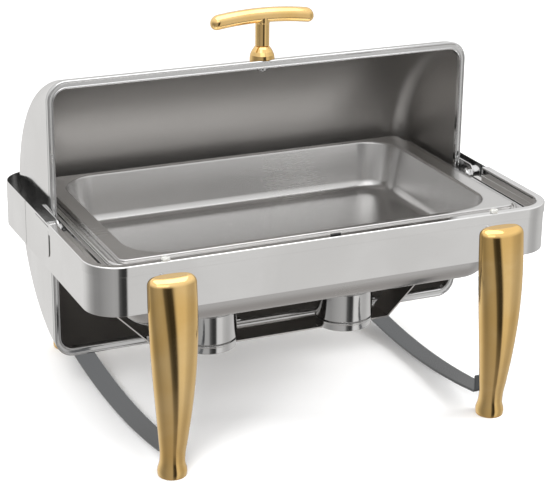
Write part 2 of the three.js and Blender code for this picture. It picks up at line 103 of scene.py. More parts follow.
def rounded(points, radius, closed=False, steps=5):
    """The line through the points with its corners turned into arcs."""
    made = []
    count = len(points)
    for i, corner in enumerate(points):
        if not closed and i in (0, count - 1):
            made.append(tuple(corner))
            continue
        here = Vector(corner)
        back = Vector(points[i - 1]) - here
        ahead = Vector(points[(i + 1) % count]) - here
        half = back.angle(ahead) / 2
        if math.pi / 2 - half < NEARLY_STRAIGHT:
            made.append(tuple(corner))
            continue
        reach = min(radius / math.tan(half), ARC_SHARE * back.length, ARC_SHARE * ahead.length)
        bend = reach * math.tan(half)
        inward = (back.normalized() + ahead.normalized()).normalized()
        centre = here + inward * (bend / math.sin(half))
        first = here + back.normalized() * reach - centre
        last = here + ahead.normalized() * reach - centre
        start = math.degrees(math.atan2(first.y, first.x))
        turn = (math.degrees(math.atan2(last.y, last.x)) - start + 180) % 360 - 180
        made.extend(arc(centre, bend, start, start + turn, steps))
    return made


def thick(line, thickness, steps=4):
    """Closed section of a sheet whose middle follows the line, with round edges."""
    half = thickness / 2
    points = [Vector(p) for p in line]
    points[0] += (points[1] - points[0]).normalized() * half
    points[-1] += (points[-2] - points[-1]).normalized() * half
    ways = [(b - a).normalized() for a, b in zip(points, points[1:])]
    left, right = [], []
    for i, point in enumerate(points):
        before, after = ways[max(i - 1, 0)], ways[min(i, len(ways) - 1)]
        way = (before + after).normalized()
        normal = Vector((-way.y, way.x)) / max(way.dot(after), SHARPEST_MITRE)
        left.append(tuple(point + normal * half))
        right.append(tuple(point - normal * half))
    end = math.degrees(math.atan2(ways[-1].y, ways[-1].x))
    start = math.degrees(math.atan2(ways[0].y, ways[0].x))
    far = arc(points[-1], half, end + 90, end - 90, steps)[1:-1]
    near = arc(points[0], half, start + 270, start + 90, steps)[1:-1]
    return left + far + right[::-1] + near


def hermite(places, values, at):
    """Smooth curve through the values at the given places."""
    places, values, at = np.array(places), np.array(values), np.array(at)
    slopes = np.gradient(values, places)
    i = np.clip(np.searchsorted(places, at, side="right") - 1, 0, len(places) - 2)
    span = places[i + 1] - places[i]
    t = (at - places[i]) / span
    first = (2 * t**3 - 3 * t**2 + 1) * values[i] + (t**3 - 2 * t**2 + t) * span * slopes[i]
    return first + (3 * t**2 - 2 * t**3) * values[i + 1] + (t**3 - t**2) * span * slopes[i + 1]


class Outline(namedtuple("Outline", "half_x front rear corner")):
    """A rounded rectangle in plan."""

    def shrunk(self, sides, front=None, rear=None, corner=None):
        """An outline set in by so much, which may differ at front and rear; below zero it is set out."""
        front = sides if front is None else front
        rear = sides if rear is None else rear
        corner = max(self.corner - sides, LEAST_CORNER) if corner is None else corner
        return Outline(self.half_x - sides, self.front + front, self.rear - rear, corner)

    def ring(self, height):
        """Points round the outline at a height, which may be a function of y."""
        x, r = self.half_x - self.corner, self.corner
        front, rear = self.front + r, self.rear - r
        flat = arc((x, rear), r, 0, 90, CORNER_STEPS) + arc((-x, rear), r, 90, 180, CORNER_STEPS)
        flat += arc((-x, front), r, 180, 270, CORNER_STEPS) + arc((x, front), r, 270, 360, CORNER_STEPS)
        rise = height if callable(height) else lambda y: height
        return [(x, y, rise(y)) for x, y in flat]


def outline_of(node, corner):
    """Outline of a node in plan, with corners of a radius."""
    low, high = extent(node)
    return Outline(high.x, low.y, high.y, corner)


# ---- shapes ----


class Shape:
    """Points in millimetres and faces; each face has the number of its finish."""

    def __init__(self):
        self.points = []
        self.faces = []
        self.finishes = []

    def grid(self, rows, wrap_rows=False, wrap_columns=False, finish=0):
        """Adds a skin through rows that have the same number of points."""
        start, count, columns = len(self.points), len(rows), len(rows[0])
        for row in rows:
            self.points.extend(row)
        for i in range(count if wrap_rows else count - 1):
            below, above = start + i * columns, start + (i + 1) % count * columns
            for k in range(columns if wrap_columns else columns - 1):
                after = (k + 1) % columns
                self.faces.append((below + k, below + after, above + after, above + k))
                self.finishes.append(finish)
        return self

    def cap(self, ring):
        """Adds one face inside a ring."""
        start = len(self.points)
        self.points.extend(ring)
        self.faces.append(tuple(range(start, start + len(ring))))
        self.finishes.append(0)
        return self

    def moved(self, change):
        self.points = [change(*point) for point in self.points]
        return self

    def joined(self, other):
        start = len(self.points)
        self.points.extend(other.points)
        self.faces.extend(tuple(start + i for i in face) for face in other.faces)
        self.finishes.extend(other.finishes)
        return self


def turned(profile, centre, axis="z", closed=False, steps=TURN_STEPS):
    """Turned piece from a profile of radius and place; a third value there makes the ring hexagonal."""
    rows = []
    for radius, place, *hexagonal in profile:
        ring = []
        for turn in np.linspace(0, 2 * math.pi, steps, endpoint=False):
            reach = radius
            if hexagonal:
                reach *= math.cos(math.pi / 6) / math.cos(turn % (math.pi / 3) - math.pi / 6)
            ring.append((reach * math.cos(turn), reach * math.sin(turn), place))
        rows.append(ring)
    a, b = centre
    places = {
        "x": lambda u, v, w: (w, a + u, b + v),
        "y": lambda u, v, w: (a + u, w, b + v),
        "z": lambda u, v, w: (a + u, b + v, w),
    }
    return Shape().grid(rows, wrap_rows=closed, wrap_columns=True).moved(places[axis])


def extruded(section, low, high, axis):
    """Closed section pushed along an axis."""
    places = {
        "x": lambda u, v, w: (w, u, v),
        "y": lambda u, v, w: (u, w, v),
        "z": lambda u, v, w: (u, v, w),
    }
    rows = [[(u, v, w) for u, v in section] for w in (low, high)]
    shape = Shape().grid(rows, wrap_columns=True).cap(rows[0]).cap(rows[1])
    return shape.moved(places[axis])


def lofted(rings, closed=False):
    """Skin over rings; when it isn't closed on itself its first and last rings are capped."""
    shape = Shape().grid(rings, wrap_rows=closed, wrap_columns=True)
    return shape if closed else shape.cap(rings[0]).cap(rings[-1])


def piece(node, shape, mirror=(1, 1), bevel=0.0, sharp=38, finishes=()):
    """Makes the shape into the piece that stands for a CAD node."""
    mesh = bpy.data.meshes.new("finished_" + node)
    build = bmesh.new()
    scale = (mirror[0] * MM, mirror[1] * MM, MM)
    places = [tuple(value * unit for value, unit in zip(point, scale)) for point in shape.points]
    corners = [build.verts.new(place) for place in places]
    for indices, finish in zip(shape.faces, shape.finishes):
        build.faces.new([corners[i] for i in indices]).material_index = finish
    bmesh.ops.remove_doubles(build, verts=build.verts, dist=WELD)
    bmesh.ops.dissolve_degenerate(build, edges=build.edges, dist=SLIVER)
    bmesh.ops.recalc_face_normals(build, faces=build.faces)
    build.to_mesh(mesh)
    build.free()
    made = bpy.data.objects.new("finished_" + node, mesh)
    bpy.context.scene.collection.objects.link(made)
    for finish in finishes or (MATERIALS[SLOT_OF[node]],):
        mesh.materials.append(finish)
    mesh.shade_smooth()
    mesh.set_sharp_from_angle(angle=math.radians(sharp))
    if bevel:
        edge = made.modifiers.new("edge", "BEVEL")
        edge.width = bevel * MM
        edge.segments = 3
        edge.limit_method = "ANGLE"
        edge.angle_limit = math.radians(sharp)
    weighted = made.modifiers.new("flat_faces", "WEIGHTED_NORMAL")
    weighted.keep_sharp = True
    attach(made, BODY_OF[node])
    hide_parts(node)
    return made


def pair(name, shape, **options):
    """A right-hand piece and its mirror image."""
    for side, sign in SIDES.items():
        piece(f"{name}_{side}", shape, mirror=(sign, 1), **options)


# ---- materials ----


class NodeTree:
    """Helpers for a tree of shader nodes."""

    def __init__(self, tree):
        self.tree = tree

    def node(self, kind, **settings):
        made = self.tree.nodes.new(kind)
        for key, value in settings.items():
            setattr(made, key, value)
        return made

    def link(self, source, target):
        self.tree.links.new(source, target)

    def maths(self, operation, first, second):
        """Result of a Math node on a socket and a second socket or number."""
        made = self.node("ShaderNodeMath", operation=operation)
        self.link(first, made.inputs[0])
        if isinstance(second, (int, float)):
            made.inputs[1].default_value = second
        else:
            self.link(second, made.inputs[1])
        return made.outputs["Value"]

    def ranged(self, value, low, high, start=0.3, end=0.7, slope="SMOOTHSTEP"):
        """Takes a value between start and end to one between low and high."""
        made = self.node("ShaderNodeMapRange", interpolation_type=slope)
        for socket, number in zip(("From Min", "From Max", "To Min", "To Max"), (start, end, low, high)):
            made.inputs[socket].default_value = number
        self.link(value, made.inputs["Value"])
        return made.outputs["Result"]


class Finish(NodeTree):
    """A material with one Principled shader."""

    def __init__(self, name, metallic=0.0, roughness=0.5, ior=1.5):
        self.material = bpy.data.materials.new(name)
        self.material.use_nodes = True
        super().__init__(self.material.node_tree)
        self.shader = self.tree.nodes["Principled BSDF"]
        self.place = self.node("ShaderNodeTexCoord").outputs["Object"]
        for socket, value in (("Metallic", metallic), ("Roughness", roughness), ("IOR", ior)):
            self.shader.inputs[socket].default_value = value

    def noise(self, scale, stretch=(1, 1, 1), detail=3.0, distortion=0.0):
        """Cloudy value from 0 to 1; a stretch below 1 draws it out along that axis."""
        mapping = self.node("ShaderNodeMapping")
        mapping.inputs["Scale"].default_value = stretch
        self.link(self.place, mapping.inputs["Vector"])
        made = self.node("ShaderNodeTexNoise")
        made.inputs["Scale"].default_value = scale
        made.inputs["Detail"].default_value = detail
        made.inputs["Distortion"].default_value = distortion
        self.link(mapping.outputs["Vector"], made.inputs["Vector"])
        return made.outputs["Fac"]

    def sum(self, first, second):
        return self.maths("ADD", first, second)

    def colour(self, value, dark, light):
        """Colour between two tones, driven by a value from 0 to 1."""
        made = self.node("ShaderNodeMix", data_type="RGBA")
        made.inputs["A"].default_value = (*dark, 1)
        made.inputs["B"].default_value = (*light, 1)
        self.link(value, made.inputs["Factor"])
        self.link(made.outputs["Result"], self.shader.inputs["Base Color"])

    def roughness(self, value):
        self.link(value, self.shader.inputs["Roughness"])

    def bump(self, height, depth, below=None):
        """Relief of a depth in millimetres, over an earlier one."""
        made = self.node("ShaderNodeBump")
        made.inputs["Distance"].default_value = depth * MM
        self.link(height, made.inputs["Height"])
        if below is not None:
            self.link(below, made.inputs["Normal"])
        self.link(made.outputs["Normal"], self.shader.inputs["Normal"])
        return made.outputs["Normal"]


def mirror_steel():
    """Polished sheet: soft waves of the pressed sheet, wiping haze and hair-fine polishing lines."""
    finish = Finish("mirror_steel", metallic=1.0)
    haze = finish.noise(9, detail=4, distortion=0.6)
    lines = finish.noise(60, stretch=(0.35, 14, 14), detail=5)
    finish.colour(finish.ranged(haze, 0, 1), (0.80, 0.795, 0.79), (0.87, 0.868, 0.865))
    worn = finish.ranged(haze, 0.06, 0.12)
    finish.roughness(finish.sum(worn, finish.ranged(lines, 0.0, 0.045)))
    waves = finish.bump(finish.noise(7, detail=1), 0.3)
    finish.bump(lines, 0.0012, waves)
    return finish.material


GRAIN_DEPTH = 0.0006


def brushed_steel(name, tone, rough, warmth=1.0):
    """Satin sheet: fine grain along the length with a cloudy sheen."""
    finish = Finish(name, metallic=1.0)
    lines = finish.noise(900, stretch=(0.03, 1, 1), detail=3)
    cloud = finish.noise(6, detail=3, distortion=0.4)
    tints = (warmth, 1, 2 - warmth)
    dark, light = (tuple(tone * share * tint for tint in tints) for share in (0.97, 1.03))
    finish.colour(finish.sum(finish.ranged(lines, 0, 0.3), finish.ranged(cloud, 0, 0.7)), dark, light)
    grain = finish.ranged(lines, rough, rough + 0.012)
    finish.roughness(finish.sum(grain, finish.ranged(cloud, 0.0, 0.03)))
    waves = finish.bump(cloud, 0.06)
    finish.bump(lines, GRAIN_DEPTH, waves)
    return finish.material


def gold():
    """Polished gold plate with a faint orange-peel and wiping marks."""
    finish = Finish("gold", metallic=1.0)
    haze = finish.noise(14, detail=4, distortion=0.5)
    finish.colour(finish.ranged(haze, 0, 1), (0.92, 0.60, 0.22), (1.0, 0.70, 0.32))
    finish.roughness(finish.ranged(haze, 0.08, 0.15))
    waves = finish.bump(finish.noise(11, detail=1), 0.25)
    finish.bump(finish.noise(420, detail=2), 0.0015, waves)
    return finish.material


def black_rubber():
    """Matt moulded rubber, greyer where it is scuffed."""
    finish = Finish("black_rubber")
    scuff = finish.noise(120, detail=5)
    finish.colour(finish.ranged(scuff, 0, 1, 0.45, 0.75), (0.012, 0.012, 0.013), (0.045, 0.044, 0.043))
    finish.roughness(finish.ranged(scuff, 0.45, 0.7))
    finish.bump(finish.noise(900, detail=2), 0.03)
    return finish.material


def clear_silicone():
    """Cloudy clear silicone."""
    finish = Finish("clear_silicone", ior=1.41)
    finish.shader.inputs["Transmission Weight"].default_value = 0.75
    cloud = finish.noise(140, detail=3)
    finish.colour(finish.ranged(cloud, 0, 1), (0.72, 0.72, 0.69), (0.90, 0.90, 0.88))
    finish.roughness(finish.ranged(cloud, 0.12, 0.28))
    return finish.material


def fuel_can():
    """Plain drawn can with fine turning rings."""
    finish = Finish("fuel_can", metallic=0.9)
    rings = finish.noise(260, stretch=(1, 1, 8), detail=4)
    finish.colour(finish.ranged(rings, 0, 1), (0.36, 0.36, 0.37), (0.55, 0.55, 0.56))
    finish.roughness(finish.ranged(rings, 0.28, 0.45))
    finish.bump(rings, 0.02)
    return finish.material


MATERIALS = {
    "mirror_steel": mirror_steel(),
    "satin_steel": brushed_steel("satin_steel", 0.70, 0.16),
    "pan_steel": brushed_steel("pan_steel", 0.67, 0.24, warmth=1.01),
    "gold": gold(),
    "black_rubber": black_rubber(),
    "clear_silicone": clear_silicone(),
    "fuel_can": fuel_can(),
}
COVER_LINING = brushed_steel("cover_lining", 0.56, 0.42, warmth=1.03)
# Inside of the band: a dark steel tone that is painted shade, not the sheet's own colour.
BAND_INSIDE_PAINTED_SHADE = brushed_steel("band_inside_painted_shade", 0.26, 0.24)
RIM_STEEL = brushed_steel("rim_steel", 0.68, 0.08)
# Stretcher steel: a near-black tone that is painted shade, far darker than polished steel.
STRIP_PAINTED_SHADE = brushed_steel("strip_painted_shade", 0.13, 0.2, warmth=0.97)
STRAP_STEEL = brushed_steel("strap_steel", 0.62, 0.12, warmth=1.03)


# ---- frame ----

BAND_LOW, BAND_HIGH = extent("front_band")
BAND_CORNER = 42
BAND_SHEET = 1.5
SEAM_EASE = 0.4  # how far each half of the band stops short of the seam


def band_run(inset, end):
    """Open path round the front of the band, from one side's end to the other's."""
    corner = BAND_CORNER - inset
    x, front = BAND_HIGH.x - BAND_CORNER, BAND_LOW.y + BAND_CORNER
    right = arc((x, front), corner, 0, -90, CORNER_STEPS)
    left = arc((-x, front), corner, -90, -180, CORNER_STEPS)
    return [(x + corner, end), *right, *left, (-x - corner, end)]


def run_along_band(section, end, painted_shade_inset=None):
    """A sheet section of inset and height, carried round the front of the band; its inside may take a
    second finish, which the band uses for painted shade.
    """
    rows = [[(x, y, height) for x, y in band_run(inset, end)] for inset, height in section]
    shape = Shape().grid(rows, wrap_rows=True)
    if painted_shade_inset is not None:
        insets = [(a[0] + b[0]) / 2 for a, b in zip(section, section[1:] + section[:1])]
        shape.finishes = [int(inset > painted_shade_inset) for inset in insets for _ in rows[0][1:]]
    return shape.cap([row[0] for row in rows]).cap([row[-1] for row in rows])


def make_band():
    """The band in two halves that meet at a visible seam, darker inside than out: the inside's dark finish
    is painted shade.
    """
    middle = BAND_SHEET / 2
    section = thick([(middle, BAND_HIGH.z), (middle, BAND_LOW.z)], BAND_SHEET)
    # Faces set in beyond this take the dark inside finish, which is painted shade.
    painted_shade_inset = BAND_SHEET * 0.9
    finishes = (MATERIALS["mirror_steel"], BAND_INSIDE_PAINTED_SHADE)
    front = run_along_band(section, BAND_HIGH.y - SEAM_EASE, painted_shade_inset)
    rear = run_along_band(section, -extent("rear_band")[0].y - SEAM_EASE, painted_shade_inset)
    piece("front_band", front, finishes=finishes)
    piece("rear_band", rear, mirror=(1, -1), finishes=finishes)


def make_trim():
    """The folded cap over the band's top: skirt, flange, drop wall and ledge in one sheet."""
    low, high = extent("front_trim")
    sheet = 0.9
    fold = 1.5
    outside = low.y - BAND_LOW.y + sheet / 2
    drop = 9.6
    ledge = 22.8
    top = high.z - sheet / 2
    shelf = extent("pan_carrier")[1].z - sheet / 2
    line = [(outside, low.z), (outside, top), (drop, top), (drop, shelf), (ledge, shelf)]
    piece("front_trim", run_along_band(thick(rounded(line, fold), sheet), high.y))


def make_pivot_plates():
    low, high = extent("pivot_plate_right")
    corners = [(low.y, low.z), (high.y, low.z), (high.y, high.z), (low.y, high.z)]
    outline = rounded(corners, 8, closed=True, steps=8)
    pair("pivot_plate", extruded(outline, low.x, high.x, "x"), bevel=0.6)


def make_carrier():
    """The flat frame that the water pan hangs in, with a folded-down outer wall."""
    low, high = extent("pan_carrier")
    outside = outline_of("pan_carrier", corner=20)
    hole = outside.shrunk(12, front=4.1, rear=4.8, corner=14)
    sheet = 1.2
    inside = outside.shrunk(sheet)
    rings = [
        outside.ring(low.z),
        outside.ring(high.z),
        hole.ring(high.z),
        hole.ring(high.z - sheet),
        inside.ring(high.z - sheet),
        inside.ring(low.z),
    ]
    piece("pan_carrier", lofted(rings, closed=True), bevel=0.45)


# Leg stations: height, half breadth, back and front measured outwards from the band, squareness
LEG_STATIONS = [
    (0, 17.6, -6.8, 28.6, 2.0),
    (8, 18.2, -7.2, 29.2, 2.0),
    (16, 16.0, -4.8, 27.2, 2.0),
    (26, 15.6, -2.4, 27.6, 2.0),
    (50, 18.0, -1.0, 32.0, 2.0),
    (80, 21.3, -0.2, 37.0, 2.0),
    (115, 24.8, 0.3, 40.5, 2.05),
    (150, 27.6, 0.3, 41.5, 2.1),
    (185, 29.4, 0.3, 40.0, 2.15),
    (220, 30.2, 0.3, 36.0, 2.2),
    (257.6, 29.9, 0.3, 30.6, 2.3),
]
LEG_CROWN = 10
LEG_FOOT_EDGE = 1.6
LEG_ROWS = 70
LEG_SIDES = 96
# The flat that a stretcher's tab is screwed to: its heights and its place outwards from the band
TAB_SEAT = {"low": 21, "high": 53, "outwards": -0.5}


def leg_ring(middle_x, height, squeeze, stations):
    """One level of the leg; the squeeze draws its outline in where it is rounded over."""
    half, back, front, power = (float(hermite(stations[0], values, height)) for values in stations[1:])
    breadth, depth = half - squeeze, (front - back) / 2 - squeeze
    seated = TAB_SEAT["low"] < height < TAB_SEAT["high"]
    ring = []
    for turn in np.linspace(0, 2 * math.pi, LEG_SIDES, endpoint=False):
        across, out = math.cos(turn), math.sin(turn)
        x = middle_x + breadth * math.copysign(abs(across) ** (2 / power), across)
        outwards = (back + front) / 2 + depth * math.copysign(abs(out) ** (2 / power), out)
        if seated:
            outwards = max(outwards, TAB_SEAT["outwards"])
        ring.append((x, BAND_LOW.y - outwards, height))
    return ring


def make_legs():
    """Cast legs with an eased foot and a rounded crown, kept out of the band's reflections."""
    (middle_x,) = centre_of("leg_front_right", "x")
    crown = extent("leg_front_right")[1].z - LEG_CROWN
    foot = [math.radians(a) for a in np.linspace(90, 0, 6)]
    top = [math.radians(a) for a in np.linspace(0, 84, 12)]
    levels = [(LEG_FOOT_EDGE * (1 - math.sin(a)), LEG_FOOT_EDGE * (1 - math.cos(a))) for a in foot]
    levels += [(z, 0) for z in np.linspace(LEG_FOOT_EDGE + 1, crown - 1, LEG_ROWS)]
    levels += [(crown + LEG_CROWN * math.sin(a), LEG_CROWN * (1 - math.cos(a))) for a in top]
    stations = list(zip(*LEG_STATIONS))
    shape = lofted([leg_ring(middle_x, z, squeeze, stations) for z, squeeze in levels])
    for depth, toward in DEPTHS.items():
        for side, sign in SIDES.items():
            leg = piece(f"leg_{depth}_{side}", shape, mirror=(sign, toward), sharp=50)
            leg.visible_glossy = False


def hexagon_head(radius, under, top):
    """Profile of a hexagonal head with a chamfered top."""
    return [(radius, under, True), (radius, top - 0.6, True), (radius - 0.7, top, True), (0, top)]


def domed_head(radius, under, top):
    """Profile of a domed head with a hexagonal recess."""
    height = top - under
    dome = [(radius * math.cos(a), under + height * math.sin(a)) for a in np.radians([0, 15, 35, 55, 70])]
    recess = 1.9
    mouth, floor = top - 0.25, top - 1.4
    return dome + [(recess, mouth, True), (recess, floor, True), (0, floor - 0.1)]


def fastener(node, head, radius, height, shank):
    """A bolt along Y whose head faces the middle of the dish."""
    low, high = extent(node)
    under = high.y - height
    tip = [(0, low.y), (shank - 0.5, low.y), (shank, low.y + 0.6), (shank, under)]
    return turned(tip + head(radius, under, high.y), centre_of(node, "xz"), axis="y", steps=36)


def make_fasteners():
    """Bolts and screws of the legs: kind of head, its radius and height, and the shank's radius."""
    kinds = {
        "leg_bolt_low": (hexagon_head, 6, 3.2, 3),
        "leg_bolt_high": (hexagon_head, 6, 3.2, 3),
        "stretcher_screw": (domed_head, 5, 2.8, 2.5),
    }
    for name, kind in kinds.items():
        shape = fastener(f"{name}_front_right", *kind)
        for depth, toward in DEPTHS.items():
            for side, sign in SIDES.items():
                piece(f"{name}_{depth}_{side}", shape, mirror=(sign, toward), sharp=30)


def make_stretchers():
    """Polished strips, bowed down between the legs, with a tab bent up at each end; their steel is painted
    dark as shade.
    """
    low, high = extent("stretcher_right")
    sheet = 3.0
    rise = 18
    bend = 5
    bend_turn = 84
    end = high.y - sheet / 2
    bottom = low.z + sheet / 2
    radius = (end * end + rise * rise) / (2 * rise)
    half_angle = math.degrees(math.asin(end / radius))
    bow = arc((0, bottom + radius), radius, 270 - half_angle, 270 + half_angle, 36)
    bend_height = bottom + rise + bend - 1
    line = [(-end, high.z)]
    line += arc((-end + bend, bend_height), bend, 180, 180 + bend_turn, 6)
    line += [point for point in bow if abs(point[0]) < end - bend]
    line += arc((end - bend, bend_height), bend, 360 - bend_turn, 360, 6)
    line += [(end, high.z)]
    pair("stretcher", extruded(thick(line, sheet), low.x, high.x, "x"), bevel=0.5, finishes=(STRIP_PAINTED_SHADE,))


def make_shelf():
    """One strap: flat middle, walls rising at 45 degrees and tabs up the inside of the band."""
    low, high = extent("burner_shelf")
    sheet = 2.0
    fold = 4
    flat = 162.4
    floor = low.z + sheet / 2
    wall = high.x - sheet / 2
    bend = floor + wall - flat
    half = [(flat, floor), (wall, bend), (wall, high.z)]
    line = [(-x, z) for x, z in half[::-1]] + half
    strap = extruded(thick(rounded(line, fold), sheet), low.y, high.y, "y")
    piece("burner_shelf", strap, bevel=0.4, finishes=(STRAP_STEEL,))


# ---- pivots and bumpers ----

PIVOT = centre_of("hub_right", "yz")
STUD = 4
# Groove round a hub: depth, and distance from its outer end
HUB_GROOVE = [(0, 3), (0.5, 2.6), (0.5, 1.8), (0, 1.4)]


def disc(node, radius, ease, centre, steps=TURN_STEPS):
    """A plain disc or pin along X with eased edges."""
    low, high = extent(node)
    line = [(0, low.x), (radius, low.x), (radius, high.x), (0, high.x)]
    return turned(rounded(line, ease), centre, axis="x", steps=steps)


def make_hubs():
    """Spacer tubes, each with the stud that holds the cover's arm."""
    low, high = extent("hub_right")
    tube = half_size("hub_right", "y")
    shoulder = extent("cover_arm_right")[1].x + GAP
    stud_ease, tube_ease = 0.6, 0.8
    stud = [(0, low.x), (STUD - stud_ease, low.x), (STUD, low.x + stud_ease), (STUD, shoulder)]
    step = [(tube - tube_ease, shoulder), (tube, shoulder + tube_ease)]
    groove = [(tube - inset, high.x - back) for inset, back in HUB_GROOVE]
    profile = stud + step + groove + [(tube, high.x), (0, high.x)]
    pair("hub", turned(profile, PIVOT, axis="x"), sharp=30)


def make_cap_nuts():
    """Hexagonal nuts with a dome, threaded on the studs."""
    low, high = extent("cap_nut_right")
    radius = half_size("cap_nut_right", "z")
    dome, rise = 6.4, 3.2
    collar, chamfer = low.x + 3.6, 0.6
    bore, bottom = STUD + GAP, low.x + 2
    profile = [(dome * math.sin(a), low.x + rise * (1 - math.cos(a))) for a in QUARTER_TURN]
    profile += [(radius - 0.5, collar, True), (radius, collar + chamfer, True), (radius, high.x, True)]
    profile += [(bore, high.x), (bore, bottom), (0, bottom)]
    pair("cap_nut", turned(profile, PIVOT, axis="x"), sharp=30)


def make_pivots():
    make_hubs()
    washer = disc("pivot_washer_right", half_size("pivot_washer_right", "z"), 0.6, PIVOT)
    pair("pivot_washer", washer)
    make_cap_nuts()
    pin = half_size("stop_pin_right", "z")
    pair("stop_pin", disc("stop_pin_right", pin, 0.7, centre_of("stop_pin_right", "yz"), steps=36))


def make_bumpers():
    """Push-in buffers in the flange over the front legs and a flat pad between them."""
    low, high = extent("bumper_right")
    head = half_size("bumper_right", "x")
    stem = 1.6
    seat = extent("front_trim")[1].z + GAP
    crown = 2.2
    dimple, dimple_depth = 1.6, 0.5
    dome = [(head - crown * (1 - math.cos(a)), high.z - crown + crown * math.sin(a)) for a in QUARTER_TURN]
    profile = [(0, low.z), (stem, low.z), (stem, seat), (head - 0.5, seat), (head, seat + 0.6), *dome]
    profile += [(dimple, high.z), (dimple - 0.4, high.z - dimple_depth), (0, high.z - dimple_depth)]
    pair("bumper", turned(profile, centre_of("bumper_right", "xy"), steps=40))
    low, high = extent("bumper_centre")
    corners = [(low.x, low.y), (high.x, low.y), (high.x, high.y), (low.x, high.y)]
    piece("bumper_centre", extruded(rounded(corners, 1.4, closed=True), low.z, high.z, "z"), bevel=0.5)


# ---- pans ----


def quarter(radius, floor, steps=10):
    """Inset and height of a quarter-round from a flat floor up to an upright wall."""
    turns = np.linspace(0, math.pi / 2, steps + 1)
    return [(radius * (1 - math.sin(t)), floor + radius * (1 - math.cos(t))) for t in turns]


PAN_SHEET = 1.2
BEAD = {"start": 2.5, "width": 5, "height": 2.0, "ease": 0.4}
# The bead dies away between these places in Y, towards the rear
BEAD_FADE = (110, 124)


def bead_height(share, top):
    """Height of the pressed bead by y, at a share of its width."""
    start, end = BEAD_FADE
    rise = math.sin(math.pi * share) * BEAD["height"]
    return lambda y: top + rise * min(1, max(0, (end - y) / (end - start)))


def make_water_pan():
    """Deep well with a wide flange and a pressed bead round the flange's edge."""
    low, high = extent("water_pan")
    flange = outline_of("water_pan", corner=30)
    well = flange.shrunk(27, front=16.5, rear=11, corner=45)
    draft = 6.5
    mouth = well.shrunk(-draft)
    floor_bend = 28
    ease_in, ease_up = 0.6, 0.5
    lower_bend = [(0.8, 2.4), (-0.4, 0.6), (-2, 0)]
    upper_bend = [(-1.4, 0), (0.4, 0.4), (PAN_SHEET, 2)]
    top = high.z - BEAD["height"]
    under = top - PAN_SHEET
    bead_end = BEAD["start"] + BEAD["width"]
    rings = [well.shrunk(inset).ring(z) for inset, z in quarter(floor_bend, low.z)]
    rings += [mouth.shrunk(inset).ring(under - down) for inset, down in lower_bend]
    rings += [flange.shrunk(ease_in).ring(under), flange.ring(under + ease_up), flange.ring(top - ease_up)]
    rings += [flange.shrunk(ease_in).ring(top), flange.shrunk(BEAD["start"] - BEAD["ease"]).ring(top)]
    for share in np.linspace(0, 1, 9):
        inset = BEAD["start"] + BEAD["width"] * share
        rings.append(flange.shrunk(inset).ring(bead_height(share, top)))
    rings.append(flange.shrunk(bead_end + BEAD["ease"]).ring(top))
    rings += [mouth.shrunk(inset).ring(top - down) for inset, down in upper_bend]
    inside = quarter(floor_bend - PAN_SHEET, low.z + PAN_SHEET)
    rings += [well.shrunk(PAN_SHEET + inset).ring(z) for inset, z in inside[::-1]]
    piece("water_pan", lofted(rings), sharp=50)


# Inside of the food pan, from the rim's bend down the wall: inset from its mouth, depth under its rim
FOOD_BEND = [(-1.4, 0), (0.2, 0.25), (1.3, 0.9), (2.0, 2.0)]
FOOD_WALL = [(2.4, 3.6), (5, 16), (8.6, 34), (12, 52), (14, 58.5), (18, 63), (24.5, 65.2), (32, 66)]
# The wall is steep above this depth, so that its thickness lies mostly sideways
FOOD_STEEP = 55
FOOD_LIP = 5.4
# The rim's turned-down lip, from inside it round to the top: inset from its edge and depth under its top
FOOD_EDGE = [
    (PAN_SHEET, FOOD_LIP), (0.3, FOOD_LIP), (0, FOOD_LIP - 0.4), (0, 1.6),
    (0.3, 0.7), (0.9, 0.15), (1.8, 0),
]


def make_food_pan():
    """Full-size insert pan: wide flat rim with a turned-down lip, sloping walls and a soft floor edge."""
    low, high = extent("food_pan")
    rim = outline_of("food_pan", corner=10)
    mouth = rim.shrunk(20, front=8, rear=6, corner=52)
    top = high.z
    outer = [mouth.shrunk(FOOD_WALL[-1][0]).ring(low.z)]
    for inset, down in (FOOD_BEND[2:] + FOOD_WALL)[::-1]:
        fall = PAN_SHEET * (0.3 if down < FOOD_STEEP else 1)
        outer.append(mouth.shrunk(inset - PAN_SHEET).ring(top - down - fall))
    outer += [mouth.shrunk(-2.4).ring(top - PAN_SHEET), rim.shrunk(PAN_SHEET).ring(top - PAN_SHEET)]
    edge = [rim.shrunk(inset).ring(top - down) for inset, down in FOOD_EDGE]
    inner = [mouth.shrunk(inset).ring(top - down) for inset, down in FOOD_BEND + FOOD_WALL]
    piece("food_pan", lofted(outer + edge + inner), sharp=50)


# ---- cover ----

SHELL_LOW, SHELL_HIGH = extent("cover_shell")
DRUM_RADIUS = 184
DRUM_FILLET = 25
DRUM_Y = SHELL_HIGH.y - DRUM_RADIUS
DRUM_Z = (SHELL_LOW.z + SHELL_HIGH.z) / 2
COVER_SHEET = 1.0
RIM_WIDTH = 7.6
# Share of its inset by which the rim reaches further in along the drum's round side
RIM_DEEPER = 3 / RIM_WIDTH
# Face of the rim, a bead at each edge: inset from the drum and depth behind the front
RIM_FACE = [(0, 0.9), (0.9, 0), (1.9, 0), (2.4, 0.9), (5.6, 0.9), (6.1, 0), (6.9, 0), (RIM_WIDTH, 0.9)]
RIM_EASE = 0.6
JUST_BEYOND = 1.0001  # keeps the innermost station clear of the cut plane


def drum_stations(inset, cut, deeper=0.0):
    """Radius and place along X of the drum's profile, from one end to the other, beyond the cut plane."""
    half = SHELL_HIGH.x - inset
    radius = DRUM_RADIUS - inset - deeper
    fillet = DRUM_FILLET - inset
    least = (cut - DRUM_Y) * JUST_BEYOND
    end = [(r, half) for r in np.linspace(least, radius - fillet - 1, 7)]
    for turn in np.radians(np.linspace(0, 90, 13)):
        end.append((radius - fillet + fillet * math.sin(turn), half - fillet + fillet * math.cos(turn)))
    middle = [(radius, x) for x in (-half / 2, 0, half / 2)]
    return [(r, -x) for r, x in end] + middle + end[::-1]


